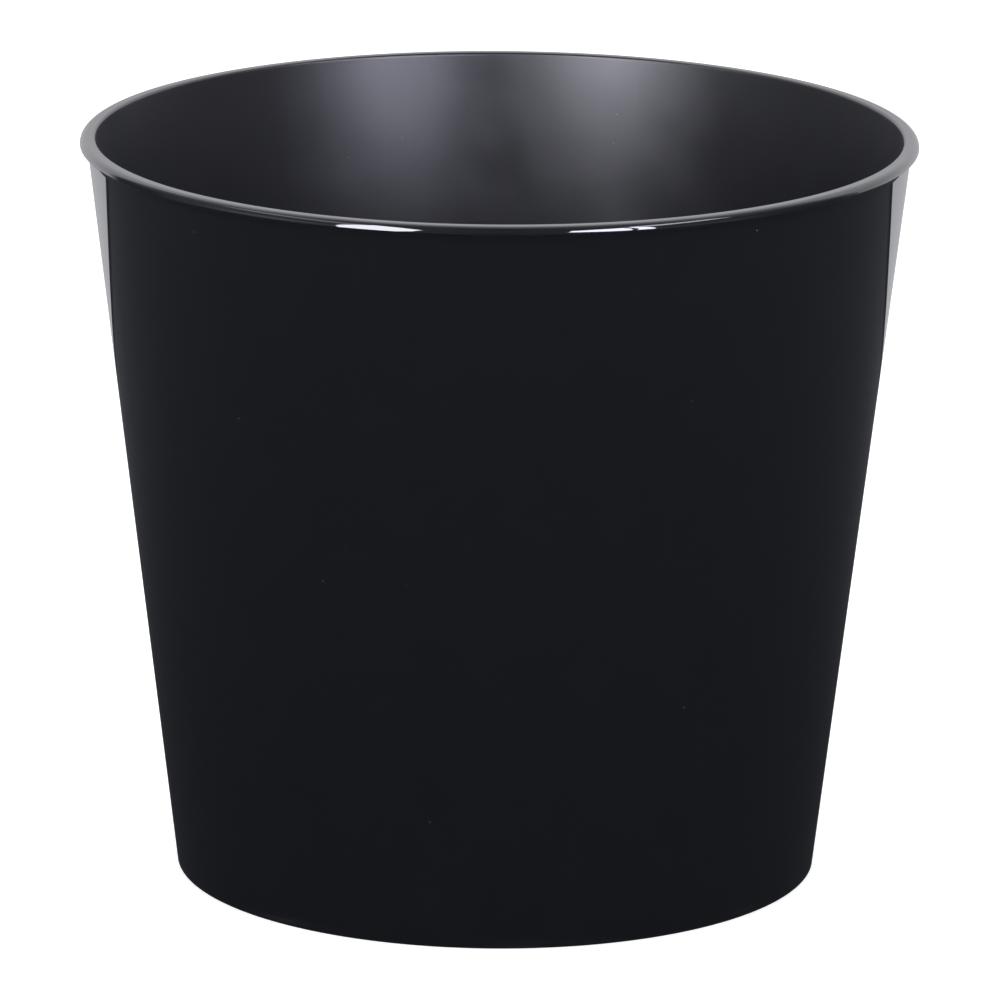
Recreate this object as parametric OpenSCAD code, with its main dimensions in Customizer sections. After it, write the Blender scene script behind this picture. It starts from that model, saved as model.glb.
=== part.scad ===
// Round tapered florist bucket, moulded in one plastic.
// The moulding is divided where its form changes: a turned-out lip, a conical side wall,
// a rounded base corner, a raised floor, a foot ring, nesting stops and the trimmed gate stub.
// Origin: centre of the foot ring's resting plane. +Z is up, along the bucket's axis.

/* [Bucket] */
// Outside diameter over the lip
rim_d = 200; // [180:1:220]
// Height from the resting plane to the top of the lip
height = 179; // [160:1:220]
// Outside diameter at the resting plane
base_d = 154; // [146:1:160]
// Wall thickness, measured level
wall_t = 2.2; // [1.8:0.1:3]

/* [Lip] */
// How far the lip stands out past the side wall
lip_out = 1.75; // [1.7:0.05:3]
// Height of the lip, from its flat underside to its flat top
lip_h = 1.9; // [1.8:0.05:2.4]
// Radius of the lip's inner top edge
lip_inner_r = 0.8; // [0.3:0.05:1]
// Radius of the lip's outer top edge
lip_outer_r = 1.7; // [0.5:0.05:1.75]
// Radius of the cove between the side wall and the lip's underside
cove_r = 2.4; // [0.8:0.1:2.4]
// Angle from the vertical at which the cove meets the lip's underside
cove_turn = 70; // [60:1:72]

/* [Base] */
// Height of the foot ring, which is the recess under the floor
foot_h = 4; // [3:0.5:8]
// Radius of the foot ring's two lower edges
foot_edge_r = 0.4; // [0.2:0.05:0.6]
// Thickness of the floor
floor_t = 2.2; // [1.8:0.1:3]
// Rise of the floor's flat middle above its edge
floor_rise = 1.6; // [0.5:0.1:3]
// Diameter of the floor's flat middle
floor_flat_d = 112; // [60:1:114]
// Width of the slope around the flat middle
floor_slope_w = 6; // [3:0.5:8]
// Radius of the inside corner between the floor and the wall
corner_r = 4; // [2:0.5:5]
// Diameter of the trimmed gate stub under the floor
gate_d = 3; // [2:0.5:5]
// Length of the gate stub
gate_h = 1.1; // [0.5:0.1:2]

/* [Nesting stops] */
// Number of stops around the inside corner
stop_count = 6; // [3:1:12]
// Height above the resting plane at which the foot of a nested bucket lands
stop_top = 20; // [20:0.5:30]
// Width of a stop along the wall
stop_w = 2.4; // [1.5:0.1:4]
// How far a stop reaches in past the foot ring's inner edge
stop_reach = 1.4; // [0.5:0.1:1.5]

/* [Hidden] */
$fn = 180;
GLOSS_BLACK = [0.03, 0.03, 0.035];
SATIN_BLACK = [0.06, 0.06, 0.07];

rim_r = rim_d / 2;
lip_z = height - lip_h;
floor_z = foot_h + floor_t;
// Run of the wall's radius for each millimetre of height, and its angle from the vertical
taper = (rim_r - lip_out - base_d / 2) / lip_z;
draft = atan(taper);

// Outside and inside radius of the shell at a height
function outer_r(z) = base_d / 2 + taper * z;
function inner_r(z) = outer_r(z) - wall_t;

// Centre of the inside corner's arc, and the point where the arc runs into the conical wall
corner_z = floor_z + corner_r;
corner_centre = [inner_r(corner_z) - corner_r / cos(draft), corner_z];
corner_end = corner_centre + corner_r * [cos(draft), -sin(draft)];
floor_edge_r = corner_centre[0];

// Centre of the lip's inner rounding, and the point where it runs into the conical wall
lip_inner_z = height - lip_inner_r;
lip_inner_centre = [inner_r(lip_inner_z) + lip_inner_r / cos(draft), lip_inner_z];
lip_inner_end = lip_inner_centre + lip_inner_r * [-cos(draft), sin(draft)];
lip_outer_centre = [rim_r - lip_outer_r, height - lip_outer_r];

// Centre of the cove's arc, and the points where the arc leaves the wall and meets the lip
cove_z = lip_z - cove_r * sin(cove_turn);
cove_centre = [outer_r(cove_z) + cove_r / cos(draft), cove_z];
cove_start = cove_centre + cove_r * [-cos(draft), sin(draft)];
cove_end = cove_centre + cove_r * [-cos(cove_turn), sin(cove_turn)];

// A disc in the plane of the sections
module disc(centre, r) {
    translate(centre)
    circle(r = r);
}

// The solid corner under the rounded inside corner, down to the floor's underside
module corner_section() {
    difference() {
        polygon([
            [floor_edge_r, foot_h],
            [outer_r(foot_h), foot_h],
            [outer_r(corner_end[1]), corner_end[1]],
            corner_end,
            corner_centre
        ]);
        disc(corner_centre, corner_r);
    }
}

// The lip: flat underside and top, a wide outer rounding and a smaller inner one
module rim_lip() {
    color(GLOSS_BLACK)
    rotate_extrude() {
        polygon([
            [inner_r(lip_z), lip_z],
            [rim_r, lip_z],
            [rim_r, lip_outer_centre[1]],
            [lip_outer_centre[0], height],
            [lip_inner_centre[0], height],
            lip_inner_end
        ]);
        intersection() {
            disc(lip_inner_centre, lip_inner_r);
            translate([lip_inner_centre[0] - lip_inner_r, lip_inner_end[1]])
            square([lip_inner_r, height - lip_inner_end[1]]);
        }
        intersection() {
            disc(lip_outer_centre, lip_outer_r);
            translate(lip_outer_centre)
            square(lip_outer_r);
        }
    }
}

// The conical wall between the base corner and the lip, with a cove under the lip
module side_wall() {
    color(GLOSS_BLACK)
    rotate_extrude()
    difference() {
        polygon([
            corner_end,
            [outer_r(corner_end[1]), corner_end[1]],
            cove_start,
            cove_centre,
            cove_end,
            [inner_r(lip_z), lip_z]
        ]);
        disc(cove_centre, cove_r);
    }
}

// The rounded corner that joins the wall to the floor
module base_corner() {
    color(SATIN_BLACK)
    rotate_extrude()
    corner_section();
}

// The floor, with a flat middle raised off its edge by a short slope
module floor_panel() {
    flat_r = floor_flat_d / 2;
    slope_r = flat_r + floor_slope_w;
    color(SATIN_BLACK)
    rotate_extrude()
    polygon([
        [0, foot_h + floor_rise],
        [flat_r, foot_h + floor_rise],
        [slope_r, foot_h],
        [floor_edge_r, foot_h],
        [floor_edge_r, floor_z],
        [slope_r, floor_z],
        [flat_r, floor_z + floor_rise],
        [0, floor_z + floor_rise]
    ]);
}

// The ring that the bucket stands on, in line with the wall, with its two lower edges rounded
module foot_ring() {
    in_r = inner_r(foot_edge_r) + foot_edge_r;
    out_r = outer_r(foot_edge_r) - foot_edge_r;
    color(GLOSS_BLACK)
    rotate_extrude() {
        polygon([
            [in_r, 0],
            [out_r, 0],
            [out_r + foot_edge_r, foot_edge_r],
            [outer_r(foot_h), foot_h],
            [inner_r(foot_h), foot_h],
            [in_r - foot_edge_r, foot_edge_r]
        ]);
        disc([in_r, foot_edge_r], foot_edge_r);
        disc([out_r, foot_edge_r], foot_edge_r);
    }
}

// Small upright ribs in the inside corner, on which the foot of a nested bucket lands
module nesting_stops() {
    in_r = inner_r(0) - stop_reach;
    turn = stop_w / inner_r(stop_top) * 180 / PI;
    color(SATIN_BLACK)
    for (i = [0:stop_count - 1])
        rotate(360 * i / stop_count - turn / 2)
        rotate_extrude(angle = turn)
        difference() {
            polygon([
                [in_r, floor_z],
                [inner_r(floor_z), floor_z],
                [inner_r(stop_top), stop_top],
                [in_r, stop_top]
            ]);
            corner_section();
        }
}

// The stub left where the plastic entered the mould, trimmed short of the resting plane
module gate_stub() {
    color(SATIN_BLACK)
    translate([0, 0, foot_h + floor_rise - gate_h])
    cylinder(d = gate_d, h = gate_h);
}

rim_lip();
side_wall();
base_corner();
floor_panel();
foot_ring();
nesting_stops();
gate_stub();
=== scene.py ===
"""Florist bucket: one round tapered moulding in black plastic, polished outside and satin inside.

Every piece is turned from its section at a finer step than the CAD model, with the small marks that
moulding leaves. The studio is a dark table in front of a white backdrop, with two tall softboxes and a
lamp at each side.
"""

import math

import bpy
from mathutils import Matrix, Vector, noise


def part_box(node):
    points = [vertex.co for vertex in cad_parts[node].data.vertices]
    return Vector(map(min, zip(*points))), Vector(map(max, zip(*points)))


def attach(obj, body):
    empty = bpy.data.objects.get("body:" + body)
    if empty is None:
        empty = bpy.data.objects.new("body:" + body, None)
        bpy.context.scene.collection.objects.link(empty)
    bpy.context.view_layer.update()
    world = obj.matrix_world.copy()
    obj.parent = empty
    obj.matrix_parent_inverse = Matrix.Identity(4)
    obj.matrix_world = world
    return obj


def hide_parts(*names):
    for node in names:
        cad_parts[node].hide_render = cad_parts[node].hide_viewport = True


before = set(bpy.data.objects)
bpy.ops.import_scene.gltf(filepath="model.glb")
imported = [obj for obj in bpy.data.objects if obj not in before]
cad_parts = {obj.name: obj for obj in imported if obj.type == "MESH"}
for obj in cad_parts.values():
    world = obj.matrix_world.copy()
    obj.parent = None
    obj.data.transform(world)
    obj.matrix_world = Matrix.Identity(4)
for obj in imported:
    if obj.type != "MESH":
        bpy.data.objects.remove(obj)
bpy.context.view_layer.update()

MM = 0.001
SEGMENTS = 480
OUT_OF_ROUND = 0.07 * MM
PLASTIC_IOR = 1.49
GLOSS, SATIN, EASED = 0, 1, 2

# ---------------------------------------------------------------- sizes, read from the frame


def node_radii(node, z, tolerance=0.02 * MM):
    """Smallest and largest radius of a CAD node's vertices at a height."""
    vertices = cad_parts[node].data.vertices
    radii = [v.co.xy.length for v in vertices if abs(v.co.z - z) < tolerance]
    return min(radii), max(radii)


RIM_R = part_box("rim_lip")[1].x
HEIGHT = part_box("rim_lip")[1].z
LIP_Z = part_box("rim_lip")[0].z
FOOT_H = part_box("foot_ring")[1].z
FLOOR_EDGE_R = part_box("floor_panel")[1].x
CORNER_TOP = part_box("base_corner")[1].z
STOP_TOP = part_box("nesting_stops")[1].z
GATE_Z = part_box("gate_stub")[0].z
GATE_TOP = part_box("gate_stub")[1].z
GATE_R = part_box("gate_stub")[1].x
FLOOR_RISE = GATE_TOP - FOOT_H
FLOOR_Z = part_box("floor_panel")[1].z - FLOOR_RISE
STOP_IN_R = min(v.co.xy.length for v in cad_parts["nesting_stops"].data.vertices)

corner_in, corner_out = node_radii("base_corner", CORNER_TOP)
WALL_T = corner_out - corner_in
TAPER = (node_radii("rim_lip", LIP_Z)[0] - corner_in) / (LIP_Z - CORNER_TOP)
DRAFT = math.atan(TAPER)

LIP_OUTER_ROUND = 1.7 * MM
LIP_INNER_ROUND = 0.8 * MM
COVE_ROUND = 2.4 * MM
COVE_TURN = 70
LOWER_EDGE_ROUND = 0.12 * MM
CORNER_ROUND = 4 * MM
FOOT_ROUND = 0.4 * MM
FLOOR_FLAT_R = 56 * MM
FLOOR_SLOPE_W = 6 * MM
STOP_COUNT = 6
STOP_W = 2.4 * MM


def inner_r(z):
    """Inside radius of the shell at a height."""
    return corner_in + TAPER * (z - CORNER_TOP)


def outer_r(z):
    """Outside radius of the shell at a height."""
    return inner_r(z) + WALL_T


# ---------------------------------------------------------------- sections and turned pieces


def arc(centre, radius, start, end, steps):
    """Points along an arc of the section, with its angles in degrees."""
    points = []
    for i in range(steps + 1):
        angle = math.radians(start + (end - start) * i / steps)
        points.append((centre[0] + radius * math.cos(angle), centre[1] + radius * math.sin(angle)))
    return points


def line(start, end, steps=1):
    """Points along a straight run of the section, closer together towards both ends."""
    points = []
    for i in range(steps + 1):
        t = (1 - math.cos(math.pi * i / steps)) / 2
        points.append((start[0] + (end[0] - start[0]) * t, start[1] + (end[1] - start[1]) * t))
    return points


def settle(radius, angle, z):
    """A point of the cooled moulding: a little out of round, never past its nominal size."""
    rise = z / HEIGHT
    swing = 0.5 + 0.28 * math.cos(2 * angle + 0.9) + 0.14 * math.cos(3 * angle - 0.6 + rise)
    swing += 0.08 * math.cos(5 * angle + 2.1 - 1.4 * rise)
    pull = OUT_OF_ROUND * rise * swing * min(1, radius / RIM_R * 2)
    return Vector(((radius - pull) * math.cos(angle), (radius - pull) * math.sin(angle), z))


def turned(name, runs, segments=SEGMENTS):
    """A closed ring or disc turned from its section.

    Each run of the section is (finish, points), and starts where the last one ended.
    """
    section = []
    finishes = []
    for finish, points in runs:
        section += points[:-1]
        finishes += [finish] * (len(points) - 1)
    closed = (Vector(runs[-1][1][-1]) - Vector(section[0])).length < 1e-9
    if not closed:
        section.append(runs[-1][1][-1])
    vertices = []
    rings = []
    for radius, z in section:
        if radius < 1e-9:
            rings.append([len(vertices)] * segments)
            vertices.append((0, 0, z))
            continue
        rings.append(list(range(len(vertices), len(vertices) + segments)))
        vertices += [settle(radius, 2 * math.pi * k / segments, z) for k in range(segments)]
    faces = []
    slots = []
    for i, finish in enumerate(finishes):
        low, high = rings[i], rings[(i + 1) % len(rings)]
        for k in range(segments):
            n = (k + 1) % segments
            corners = [low[k], low[n], high[n], high[k]]
            faces.append(list(dict.fromkeys(corners)))
            slots.append(finish)
    return made(name, vertices, faces, slots)


def made(name, vertices, faces, slots, sharp=math.radians(32)):
    """A smooth-shaded object in the scene, with every finish in its slots."""
    mesh = bpy.data.meshes.new(name)
    mesh.from_pydata(vertices, [], faces)
    mesh.validate()
    for finish in FINISHES:
        mesh.materials.append(finish)
    mesh.polygons.foreach_set("material_index", slots)
    mesh.shade_smooth()
    mesh.set_sharp_from_angle(angle=sharp)
    piece = bpy.data.objects.new(name, mesh)
    bpy.context.scene.collection.objects.link(piece)
    return piece


def stand_for(piece, node):
    """The piece rides on the bucket's one body in place of a CAD node."""
    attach(piece, "root")
    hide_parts(node)


# ---------------------------------------------------------------- materials


class Graph:
    """A short way to write a material's nodes."""

    def __init__(self, owner):
        self.owner = owner
        owner.use_nodes = True
        self.tree = owner.node_tree
        self.tree.nodes.clear()

    def add(self, kind, inputs=None, **settings):
        node = self.tree.nodes.new(kind)
        for key, value in settings.items():
            setattr(node, key, value)
        for key, value in (inputs or {}).items():
            self.feed(node.inputs[key], value)
        return node

    def feed(self, socket, value):
        if isinstance(value, bpy.types.NodeSocket):
            self.tree.links.new(value, socket)
        else:
            socket.default_value = value

    def maths(self, operation, *values):
        node = self.add("ShaderNodeMath", operation=operation)
        for socket, value in zip(node.inputs, values):
            self.feed(socket, value)
        return node.outputs[0]

    def vector(self, operation, *values):
        node = self.add("ShaderNodeVectorMath", operation=operation)
        for socket, value in zip(node.inputs, values):
            self.feed(socket, value)
        return node.outputs[0]

    def noise(self, coordinates, scale, detail=3.0, roughness=0.5):
        inputs = {"Vector": coordinates, "Scale": scale, "Detail": detail, "Roughness": roughness}
        return self.add("ShaderNodeTexNoise", inputs).outputs["Fac"]

    def ramp(self, value, low, high, to_low=0.0, to_high=1.0):
        """value mapped smoothly from low..high to to_low..to_high."""
        inputs = {0: value, 1: low, 2: high, 3: to_low, 4: to_high}
        return self.add("ShaderNodeMapRange", inputs, interpolation_type="SMOOTHSTEP").outputs[0]

    def mix(self, factor, a, b):
        node = self.add("ShaderNodeMix", data_type="RGBA")
        self.feed(node.inputs[0], factor)
        self.feed(node.inputs[6], a)
        self.feed(node.inputs[7], b)
        return node.outputs[2]

    def bump(self, height, distance, normal=None):
        inputs = {"Height": height, "Distance": distance, "Strength": 1.0}
        if normal is not None:
            inputs["Normal"] = normal
        return self.add("ShaderNodeBump", inputs).outputs[0]

    def finish(self, inputs):
        shader = self.add("ShaderNodeBsdfPrincipled", inputs)
        self.add("ShaderNodeOutputMaterial", {"Surface": shader.outputs[0]})
        return self.owner

    def sheen(self, plastic, rough, normal):
        """Plastic with a fine upright grain: its sheen spreads further around the bucket than up."""
        around = self.add("ShaderNodeTangent", direction_type="RADIAL", axis="Z").outputs[0]
        skin = {"IOR": PLASTIC_IOR, "Normal": normal}
        body = self.add(
            "ShaderNodeBsdfPrincipled",
            {"Base Color": plastic, "Roughness": 0.55, "Specular IOR Level": 0.11, **skin},
        )
        shine = self.add(
            "ShaderNodeBsdfAnisotropic",
            {
                "Color": (0.84, 0.84, 0.87, 1),
                "Roughness": rough,
                "Anisotropy": -0.25,
                "Tangent": around,
                "Normal": normal,
            },
            distribution="BECKMANN",
        )
        mirrored = self.add("ShaderNodeFresnel", skin).outputs[0]
        both = self.add("ShaderNodeMixShader", {0: mirrored, 1: body.outputs[0], 2: shine.outputs[0]})
        self.add("ShaderNodeOutputMaterial", {"Surface": both.outputs[0]})
        return self.owner


def material_graph(name):
    """The graph of a new material."""
    return Graph(bpy.data.materials.new(name))


def places(g):
    """Coordinates in millimetres: in space, along the draw of the mould, and around the bucket."""
    metres = g.add("ShaderNodeTexCoord").outputs["Object"]
    space = g.vector("MULTIPLY", metres, (1000, 1000, 1000))
    flat = g.vector("NORMALIZE", g.vector("MULTIPLY", space, (1, 1, 0)))
    around = g.vector("MULTIPLY", flat, (100, 100, 0))
    height = g.vector("MULTIPLY", space, (0, 0, 1))
    drawn = g.vector("ADD", around, g.vector("MULTIPLY", height, (0, 0, 0.02)))
    level = g.vector("ADD", g.vector("MULTIPLY", around, (0.03, 0.03, 0)), height)
    z = g.add("ShaderNodeSeparateXYZ", {0: space}).outputs[2]
    return space, drawn, level, z


def specks(g, coordinates, spacing, size, keep):
    """1 on small scattered dots, such as dust. keep is the share of cells that have one."""
    scatter = {"Vector": coordinates, "Scale": 1 / spacing, "Randomness": 1.0}
    cells = g.add("ShaderNodeTexVoronoi", scatter)
    near = g.ramp(cells.outputs["Distance"], size / spacing * 0.6, size / spacing, 1.0, 0.0)
    chance = g.add("ShaderNodeSeparateColor", {0: cells.outputs["Color"]}).outputs[0]
    return g.maths("MULTIPLY", near, g.maths("GREATER_THAN", chance, 1 - keep))


def gloss_black():
    """The polished outside: nearly a mirror, with flow ripple, fine rub marks and a little dust."""
    g = material_graph("gloss_black")
    space, drawn, level, z = places(g)
    flow = g.noise(space, 1 / 38, 2.0)
    haze = g.noise(space, 1 / 9, 4.0, 0.6)
    rubs = g.ramp(g.noise(drawn, 1 / 0.9, 3.0, 0.65), 0.62, 0.78)
    patch = g.ramp(g.noise(space, 1 / 26, 2.0), 0.45, 0.7)
    rubbed = g.maths("MULTIPLY", rubs, patch)
    dust = specks(g, space, 5.0, 0.16, 0.2)
    scuffs = g.ramp(g.noise(level, 1 / 1.3, 4.0, 0.7), 0.5, 0.75)
    foot = g.maths("MULTIPLY", g.ramp(z, 0.3, 3.0, 1.0, 0.0), scuffs)
    worn = g.maths("MAXIMUM", g.maths("MULTIPLY", rubbed, 0.35), foot)
    plastic = g.mix(haze, (0.0057, 0.0060, 0.0079, 1), (0.0072, 0.0076, 0.0098, 1))
    plastic = g.mix(worn, plastic, (0.017, 0.017, 0.019, 1))
    plastic = g.mix(dust, plastic, (0.06, 0.06, 0.065, 1))
    rough = g.maths("ADD", g.ramp(haze, 0.3, 0.7, 0.022, 0.042), g.maths("MULTIPLY", worn, 0.22))
    rough = g.maths("MAXIMUM", rough, g.maths("MULTIPLY", dust, 0.8))
    ripple = g.bump(flow, 0.05 * MM)
    skin = g.bump(g.noise(space, 1 / 2.6, 2.0), 0.0009 * MM, ripple)
    marks = g.bump(worn, -0.003 * MM, skin)
    return g.finish({"Base Color": plastic, "Roughness": rough, "IOR": PLASTIC_IOR, "Normal": marks})


def satin_black():
    """The inside, from the core's finer sparked surface: soft sheen, draw lines and settled dust."""
    g = material_graph("satin_black")
    space, drawn, _, _ = places(g)
    cloud = g.noise(space, 1 / 16, 4.0, 0.6)
    grain = g.noise(space, 1 / 0.55, 3.0, 0.6)
    lines = g.ramp(g.noise(drawn, 1 / 0.7, 3.0, 0.6), 0.55, 0.8)
    dust = specks(g, space, 6.0, 0.18, 0.35)
    plastic = g.mix(cloud, (0.0068, 0.0074, 0.0105, 1), (0.0092, 0.0099, 0.0136, 1))
    plastic = g.mix(g.maths("MULTIPLY", lines, 0.5), plastic, (0.016, 0.016, 0.018, 1))
    plastic = g.mix(dust, plastic, (0.10, 0.10, 0.11, 1))
    rough = g.maths("ADD", g.ramp(cloud, 0.3, 0.7, 0.325, 0.365), g.maths("MULTIPLY", lines, -0.03))
    rough = g.maths("MAXIMUM", rough, g.maths("MULTIPLY", dust, 0.85))
    fine = g.bump(grain, 0.006 * MM)
    drawn_skin = g.bump(lines, 0.002 * MM, fine)
    return g.sheen(plastic, rough, drawn_skin)


def eased_black():
    """The lip's inner rounding, where the polish fades out into the satin of the inside."""
    g = material_graph("eased_black")
    space, _, _, z = places(g)
    cloud = g.noise(space, 1 / 16, 4.0, 0.6)
    plastic = g.mix(cloud, (0.0062, 0.0065, 0.0090, 1), (0.0084, 0.0090, 0.0122, 1))
    polished_z = HEIGHT / MM + 0.1
    satin_z = HEIGHT / MM - 0.6
    rough = g.ramp(z, satin_z, polished_z, 0.40, 0.05)
    skin = g.bump(g.noise(space, 1 / 0.55, 3.0, 0.6), 0.002 * MM)
    return g.finish({"Base Color": plastic, "Roughness": rough, "IOR": PLASTIC_IOR, "Normal": skin})


FINISHES = [gloss_black(), satin_black(), eased_black()]

# ---------------------------------------------------------------- the bucket


def rim_lip():
    """The turned-out lip: polished over its top, easing out to satin over the inner rounding."""
    draft = math.degrees(DRAFT)
    outer = (RIM_R - LIP_OUTER_ROUND, HEIGHT - LIP_OUTER_ROUND)
    inner_z = HEIGHT - LIP_INNER_ROUND
    inner = (inner_r(inner_z) + LIP_INNER_ROUND / math.cos(DRAFT), inner_z)
    lower = (RIM_R - LOWER_EDGE_ROUND, LIP_Z + LOWER_EDGE_ROUND)
    underside = line((inner_r(LIP_Z), LIP_Z), (lower[0], LIP_Z), 6)
    edge = arc(lower, LOWER_EDGE_ROUND, -90, 0, 4)
    land = line(edge[-1], (RIM_R, outer[1]), 2)
    round_out = arc(outer, LIP_OUTER_ROUND, 0, 90, 30)
    crest = line(round_out[-1], (inner[0], HEIGHT), 5)
    round_in = arc(inner, LIP_INNER_ROUND, 90, 180 - draft, 12)
    inside = line(round_in[-1], (inner_r(LIP_Z), LIP_Z), 5)
    runs = [(GLOSS, underside), (GLOSS, edge), (GLOSS, land), (GLOSS, round_out), (GLOSS, crest)]
    runs += [(EASED, round_in), (SATIN, inside)]
    stand_for(turned("lip", runs), "rim_lip")


def side_wall():
    """The conical wall, with a cove under the lip."""
    draft = math.degrees(DRAFT)
    cove_z = LIP_Z - COVE_ROUND * math.sin(math.radians(COVE_TURN))
    cove = (outer_r(cove_z) + COVE_ROUND / math.cos(DRAFT), cove_z)
    round_up = arc(cove, COVE_ROUND, 180 - draft, 180 - COVE_TURN, 16)
    outside = line((outer_r(CORNER_TOP), CORNER_TOP), round_up[0], 60)
    top = line(round_up[-1], (inner_r(LIP_Z), LIP_Z), 3)
    inside = line(top[-1], (inner_r(CORNER_TOP), CORNER_TOP), 60)
    bottom = line(inside[-1], outside[0], 3)
    runs = [(GLOSS, outside), (GLOSS, round_up), (SATIN, top), (SATIN, inside), (SATIN, bottom)]
    stand_for(turned("wall", runs), "side_wall")


def base_corner():
    """The rounded corner between the wall and the floor."""
    draft = math.degrees(DRAFT)
    corner = (FLOOR_EDGE_R, FLOOR_Z + CORNER_ROUND)
    round_in = arc(corner, CORNER_ROUND, -draft, -90, 16)
    under = line((FLOOR_EDGE_R, FOOT_H), (outer_r(FOOT_H), FOOT_H), 3)
    outside = line(under[-1], (outer_r(CORNER_TOP), CORNER_TOP), 8)
    top = line(outside[-1], round_in[0], 3)
    edge = line(round_in[-1], under[0], 2)
    runs = [(SATIN, under), (GLOSS, outside), (SATIN, top), (SATIN, round_in), (SATIN, edge)]
    stand_for(turned("corner", runs), "base_corner")


def floor_panel():
    """The floor, its flat middle raised, with the fine ring of the core's air valve."""
    valve_r = 14 * MM
    groove = 0.25 * MM
    top_z = FLOOR_Z + FLOOR_RISE
    slope_r = FLOOR_FLAT_R + FLOOR_SLOPE_W
    under = line((0, FOOT_H + FLOOR_RISE), (FLOOR_FLAT_R, FOOT_H + FLOOR_RISE), 12)
    under_slope = line(under[-1], (slope_r, FOOT_H), 6)
    under_edge = line(under_slope[-1], (FLOOR_EDGE_R, FOOT_H), 4)
    edge = line(under_edge[-1], (FLOOR_EDGE_R, FLOOR_Z), 2)
    top_edge = line(edge[-1], (slope_r, FLOOR_Z), 4)
    top_slope = line(top_edge[-1], (FLOOR_FLAT_R, top_z), 6)
    top = line(top_slope[-1], (valve_r + groove, top_z), 8)
    ring = [top[-1], (valve_r + groove / 2, top_z - groove / 2), (valve_r, top_z)]
    middle = line(ring[-1], (0, top_z), 6)
    below = [under, under_slope, under_edge, edge]
    above = [top_edge, top_slope, top, ring, middle]
    runs = [(SATIN, points) for points in below + above]
    stand_for(turned("floor", runs), "floor_panel")


def foot_ring():
    """The ring that the bucket stands on."""
    draft = math.degrees(DRAFT)
    outer_c = (outer_r(FOOT_ROUND) - FOOT_ROUND, FOOT_ROUND)
    inner_c = (inner_r(FOOT_ROUND) + FOOT_ROUND, FOOT_ROUND)
    round_out = arc(outer_c, FOOT_ROUND, -90, 0, 8)
    outside = line(round_out[-1], (outer_r(FOOT_H), FOOT_H), 4)
    top = line(outside[-1], (inner_r(FOOT_H), FOOT_H), 3)
    inside = line(top[-1], (inner_c[0] - FOOT_ROUND, FOOT_ROUND), 4)
    round_in = arc(inner_c, FOOT_ROUND, 180, 270, 8)
    rest = line(round_in[-1], round_out[0], 3)
    runs = [(GLOSS, round_out), (GLOSS, outside), (SATIN, top), (SATIN, inside)]
    runs += [(SATIN, round_in), (GLOSS, rest)]
    stand_for(turned("foot", runs), "foot_ring")


def nesting_stops():
    """Upright ribs in the inside corner, with softened edges."""
    corner = (FLOOR_EDGE_R, FLOOR_Z + CORNER_ROUND)
    soft = 0.35 * MM
    draft = math.degrees(DRAFT)
    start = -math.degrees(math.acos((STOP_IN_R - corner[0]) / CORNER_ROUND))
    foot = arc(corner, CORNER_ROUND, start, -draft, 8)
    back = line(foot[-1], (inner_r(STOP_TOP), STOP_TOP), 3)
    top = line(back[-1], (STOP_IN_R + soft, STOP_TOP), 2)
    nose = arc((STOP_IN_R + soft, STOP_TOP - soft), soft, 90, 180, 5)
    front = line(nose[-1], foot[0], 3)
    section = [*foot[:-1], *back[:-1], *top[:-1], *nose[:-1], *front[:-1]]
    steps = 6
    vertices = []
    faces = []
    for i in range(STOP_COUNT):
        first = len(vertices)
        for j in range(steps + 1):
            across = STOP_W * (j / steps - 0.5)
            angle = 2 * math.pi * i / STOP_COUNT + across / inner_r(STOP_TOP)
            vertices += [settle(r, angle, z) for r, z in section]
        count = len(section)
        for j in range(steps):
            for k in range(count):
                n = (k + 1) % count
                low, high = first + j * count, first + (j + 1) * count
                faces.append([low + k, high + k, high + n, low + n])
        faces.append([first + k for k in range(count)])
        faces.append([first + steps * count + k for k in reversed(range(count))])
    piece = made("stops", vertices, faces, [SATIN] * len(faces))
    bevel = piece.modifiers.new("soft edges", "BEVEL")
    bevel.width = 0.25 * MM
    bevel.segments = 3
    bevel.limit_method = "ANGLE"
    bevel.angle_limit = math.radians(50)
    stand_for(piece, "nesting_stops")


def gate_stub():
    """The trimmed stub under the floor, a little narrower at its torn end."""
    rings = 10
    end_rings = 8
    segments = 48
    end_r = GATE_R * 0.86
    tear_depth = 0.30 * MM
    tears_per_metre = 1400

    def torn(x, y, t):
        """A point of the end, where t is 1 at its edge and 0 in its middle."""
        tear = 0.5 + 0.5 * noise.noise(Vector((x, y, 0)) * tears_per_metre)
        return (x, y, GATE_Z + tear_depth * tear * min(1, (1 - t) * 3))

    vertices = []
    for i in range(rings + end_rings):
        for k in range(segments):
            angle = 2 * math.pi * k / segments
            if i <= rings:
                radius = GATE_R + (end_r - GATE_R) * i / rings
                z = GATE_TOP + (GATE_Z - GATE_TOP) * i / rings
                vertices.append((radius * math.cos(angle), radius * math.sin(angle), z))
            else:
                t = 1 - (i - rings) / end_rings
                vertices.append(torn(end_r * t * math.cos(angle), end_r * t * math.sin(angle), t))
    middle = len(vertices)
    vertices.append(torn(0, 0, 0))
    faces = [list(range(segments))]
    for i in range(rings + end_rings):
        above, below = i * segments, (i + 1) * segments
        for k in range(segments):
            n = (k + 1) % segments
            if below < middle:
                faces.append([above + k, below + k, below + n, above + n])
            else:
                faces.append([above + k, middle, above + n])
    piece = made("gate", vertices, faces, [SATIN] * len(faces))
    stand_for(piece, "gate_stub")


rim_lip()
side_wall()
base_corner()
floor_panel()
foot_ring()
nesting_stops()
gate_stub()

# ---------------------------------------------------------------- studio

BACK_EDGE_Y = 0.483
TABLE_X = (-1.5, 1.5)
TABLE_FRONT_Y = -1.2
BACKDROP_X = (-0.68, 1.30)
BACKDROP_TOP = 1.1


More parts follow.
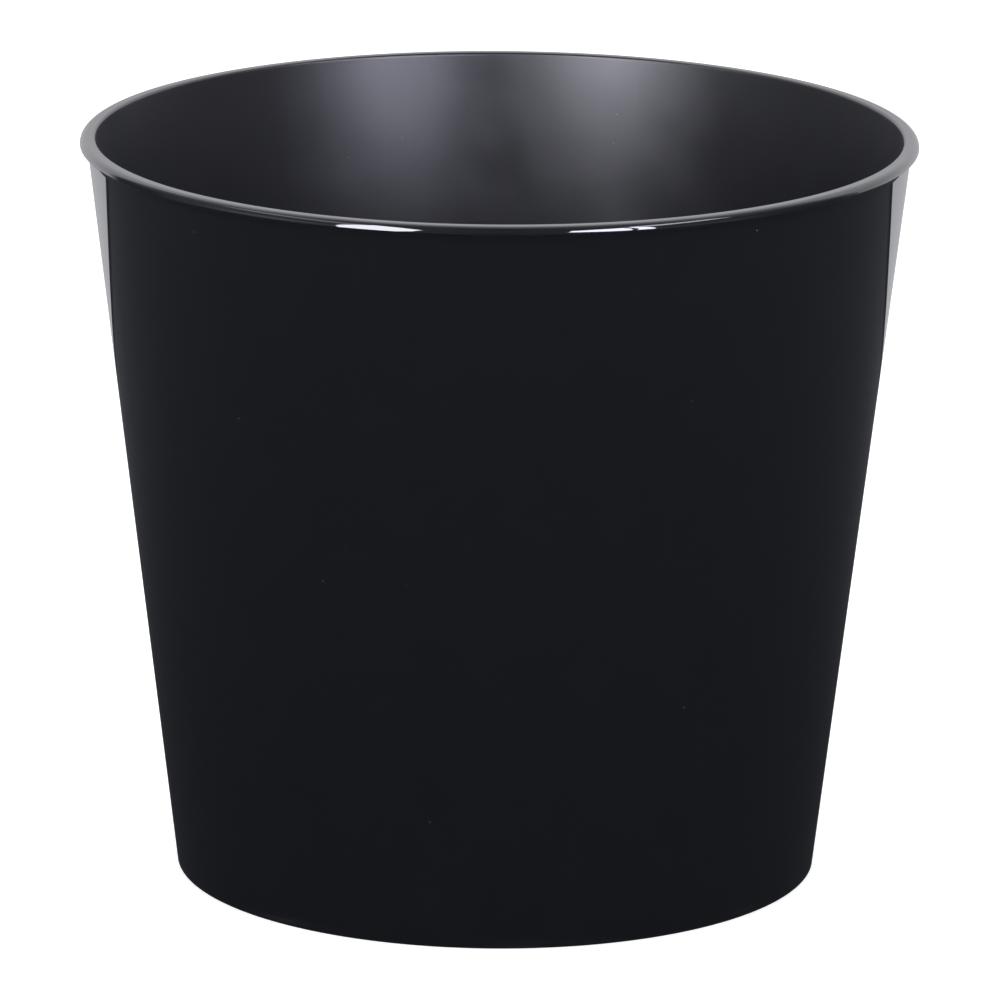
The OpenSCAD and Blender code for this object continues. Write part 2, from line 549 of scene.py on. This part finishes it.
def emission(name, tint, build):
    """A glowing material whose strength build(g) works out."""
    g = material_graph(name)
    strength = build(g)
    shader = g.add("ShaderNodeEmission", {"Color": (*tint, 1), "Strength": strength})
    g.add("ShaderNodeOutputMaterial", {"Surface": shader.outputs[0]})
    return g.owner


def sheet(name, corners, material):
    """A flat stage piece."""
    mesh = bpy.data.meshes.new(name)
    mesh.from_pydata(corners, [], [range(len(corners))])
    mesh.materials.append(material)
    piece = bpy.data.objects.new(name, mesh)
    bpy.context.scene.collection.objects.link(piece)
    return piece


def only_mirrored(piece):
    """Seen in reflections alone, as a card out of the picture is."""
    piece.visible_camera = False
    piece.visible_diffuse = False
    piece.visible_transmission = False
    piece.visible_shadow = False


def pale_floor():
    """The plain pale floor that the bucket stands on, lit from below so that it stays nearly white."""
    g = material_graph("pale_floor")
    matt = g.add("ShaderNodeBsdfDiffuse", {"Color": (0.8, 0.8, 0.8, 1)})
    glow = g.add("ShaderNodeEmission", {"Strength": 0.55})
    both = g.add("ShaderNodeAddShader", {0: matt.outputs[0], 1: glow.outputs[0]})
    g.add("ShaderNodeOutputMaterial", {"Surface": both.outputs[0]})
    reach = 12
    corners = [(-reach, -reach, 0), (reach, -reach, 0), (reach, reach, 0), (-reach, reach, 0)]
    floor = sheet("pale_floor", corners, g.owner)
    floor.visible_glossy = False


def dark_table():
    """What the polished wall mirrors below the horizon: a dark table top, dimmer close to the bucket as
    painted shade of it, with a painted pool of light at its left front and a painted shadow along its
    back edge.
    """

    def strength(g):
        metres = g.add("ShaderNodeTexCoord").outputs["Object"]
        away = g.add("ShaderNodeVectorMath", {0: metres}, operation="LENGTH").outputs["Value"]
        x, y, _ = g.add("ShaderNodeSeparateXYZ", {0: metres}).outputs
        # Painted light: a brighter pool on the table's left front.
        left_light_reach = g.ramp(x, -0.85, -0.45, 0.22, 0.0)
        in_front = g.ramp(y, -0.05, 0.25, 1.0, 0.0)
        left_pool_of_light = g.maths("MULTIPLY", left_light_reach, in_front)
        # Painted shade of the bucket: the glow falls from 0.135 far off to 0.03 close to it.
        lit = g.maths("ADD", g.ramp(away, 0.07, 0.8, 0.03, 0.135), left_pool_of_light)
        # Painted shadow: a dark band along the table's back edge.
        back_edge_shadow = g.ramp(y, BACK_EDGE_Y - 0.045, BACK_EDGE_Y - 0.01, 1.0, 0.3)
        return g.maths("MULTIPLY", lit, back_edge_shadow)

    z = -0.5 * MM
    x0, x1 = TABLE_X
    y0, y1 = TABLE_FRONT_Y, BACK_EDGE_Y
    corners = [(x0, y0, z), (x1, y0, z), (x1, y1, z), (x0, y1, z)]
    glow = emission("dark_table", (0.90, 0.97, 1.10), strength)
    only_mirrored(sheet("dark_table", corners, glow))


def white_backdrop():
    """The white wall at the table's back edge: brighter higher up, with a soft shade in the middle."""

    def strength(g):
        metres = g.add("ShaderNodeTexCoord").outputs["Object"]
        z = g.add("ShaderNodeSeparateXYZ", {0: metres}).outputs[2]
        centred = g.vector("SUBTRACT", metres, (0, BACK_EDGE_Y, 0.06))
        scaled = g.vector("MULTIPLY", centred, (1 / 0.34, 0, 1 / 0.25))
        away = g.add("ShaderNodeVectorMath", {0: scaled}, operation="LENGTH").outputs["Value"]
        shade = g.ramp(away, 0.0, 1.8, 1.1, 0.0)
        return g.maths("SUBTRACT", g.ramp(z, 0.3, 0.85, 1.48, 1.95), shade)

    (x0, x1), y = BACKDROP_X, BACK_EDGE_Y
    corners = [(x0, y, -0.3), (x1, y, -0.3), (x1, y, BACKDROP_TOP), (x0, y, BACKDROP_TOP)]
    glow = emission("white_backdrop", (0.98, 0.985, 1.03), strength)
    only_mirrored(sheet("white_backdrop", corners, glow))


def softbox(name, outline, glow, tint):
    """A soft light beside the camera.

    Each corner is (azimuth, elevation) in degrees, seen from the rim's centre.
    """
    distance = 1.15
    rim_centre = Vector((0, 0, HEIGHT))
    corners = []
    for azimuth, elevation in outline:
        a, e = math.radians(azimuth), math.radians(elevation)
        corners.append(rim_centre + Vector((math.sin(a), -math.cos(a), math.tan(e))) * distance)
    only_mirrored(sheet(name, corners, emission(name, tint, lambda g: glow)))


# The studio as a mirror on the bucket sees it. Each ring is at one height, given as the sine of its
# elevation, and lists (angle, brightness) around it: 0 degrees is towards the camera, 90 to its right.
RINGS = [
    (0.10, [
        (-132, 1.40), (-126, 0.10), (-108, 0.10), (-98, 0.36), (-88, 0.46), (-76, 0.95),
        (-62, 1.15), (-48, 0.60), (0, 0.15), (50, 0.45), (64, 0.50), (80, 0.18), (105, 0.09),
        (113, 0.60), (122, 1.40),
    ]),
    (0.50, [
        (-140, 1.40), (-126, 0.55), (-104, 0.36), (-92, 0.45), (-72, 0.40), (-54, 0.40),
        (0, 0.25), (42, 0.25), (96, 0.20), (106, 0.50), (118, 1.10), (135, 1.50),
    ]),
    (0.73, [
        (-180, 1.90), (-145, 1.60), (-124, 1.05), (-98, 0.80), (-44, 0.50), (0, 0.25), (60, 0.35),
        (100, 0.60), (126, 1.05), (146, 1.50), (180, 1.90),
    ]),
    (0.87, [
        (-180, 1.95), (-145, 1.60), (-104, 0.90), (-60, 0.45), (0, 0.20), (60, 0.40), (100, 0.70),
        (145, 1.45), (180, 1.95),
    ]),
    (0.96, [(-180, 1.10), (-90, 0.55), (0, 0.20), (90, 0.55), (180, 1.10)]),
]
ROOM_TINT = (0.97, 0.99, 1.06)
BRIGHTEST = 2.0
SOFT_LIGHT = 1.06


def surroundings():
    """Plain white for the eye and for soft light; for reflections, the rings of the studio."""
    world = bpy.data.worlds.new("studio")
    bpy.context.scene.world = world
    g = Graph(world)
    split = g.add("ShaderNodeSeparateXYZ", {0: g.add("ShaderNodeTexCoord").outputs["Generated"]})
    x, y, z = split.outputs
    around = g.maths("ARCTAN2", x, g.maths("MULTIPLY", y, -1.0))
    turn = g.maths("MULTIPLY_ADD", around, 1 / (2 * math.pi), 0.5)
    below = None
    for height, stops in RINGS:
        ramp = g.add("ShaderNodeValToRGB", {0: turn})
        while len(ramp.color_ramp.elements) < len(stops):
            ramp.color_ramp.elements.new(0.5)
        for element, (angle, level) in zip(ramp.color_ramp.elements, stops):
            element.position = angle / 360 + 0.5
            element.color = [level / BRIGHTEST * c for c in ROOM_TINT] + [1]
        ring = ramp.outputs[0]
        if below is None:
            mirrored = ring
        else:
            mirrored = g.mix(g.ramp(z, below, height), mirrored, ring)
        below = height
    room = g.add("ShaderNodeBackground", {"Color": mirrored, "Strength": BRIGHTEST})
    plain = g.add("ShaderNodeBackground", {"Color": (1, 1, 1, 1), "Strength": SOFT_LIGHT})
    glossy = g.add("ShaderNodeLightPath").outputs["Is Glossy Ray"]
    both = g.add("ShaderNodeMixShader", {0: glossy, 1: plain.outputs[0], 2: room.outputs[0]})
    g.add("ShaderNodeOutputWorld", {0: both.outputs[0]})


def camera():
    """A long lens 2.25 m away, 14.45 degrees above the horizon, turned a touch anticlockwise."""
    distance, elevation, roll = 2.2478, math.radians(14.45), math.radians(0.38)
    aim_right, aim_up = 0.65 * MM, -0.35 * MM
    back = Vector((0, -math.cos(elevation), math.sin(elevation)))
    right = Vector((1, 0, 0))
    up = back.cross(right)
    data = bpy.data.cameras.new("camera")
    data.sensor_width = 36
    data.lens = 336.3
    data.clip_end = 100
    eye = bpy.data.objects.new("camera", data)
    place = Vector((0, 0, HEIGHT / 2)) + back * distance + right * aim_right + up * aim_up
    axes = Matrix((right, up, back)).transposed().to_4x4()
    eye.matrix_world = Matrix.Translation(place) @ axes @ Matrix.Rotation(roll, 4, "Z")
    bpy.context.scene.collection.objects.link(eye)
    bpy.context.scene.camera = eye


pale_floor()
dark_table()
white_backdrop()
COOL = (0.98, 0.99, 1.08)
VIOLET = (0.97, 0.97, 1.14)
softbox(
    "softbox_left",
    [(-41.5, -22), (-31, -21), (-22, 3), (-20.5, 25), (-31, 44), (-45, 54)],
    22.5,
    COOL,
)
softbox(
    "softbox_right",
    [(31, 2), (34.1, 1), (37.4, 39), (28, 36), (20, 29), (18, 11)],
    25,
    VIOLET,
)
softbox("softbox_right_wing", [(35.7, 1), (40.5, 1), (43, 45), (39.4, 40)], 25, VIOLET)
softbox("side_lamp_right", [(43, 34), (78, 42), (78, 51), (43, 51)], 9, COOL)
softbox("side_lamp_left", [(-97, 40), (-44, 39), (-44, 51), (-97, 51)], 3.2, COOL)
surroundings()
camera()
bpy.context.scene.view_settings.view_transform = "Standard"
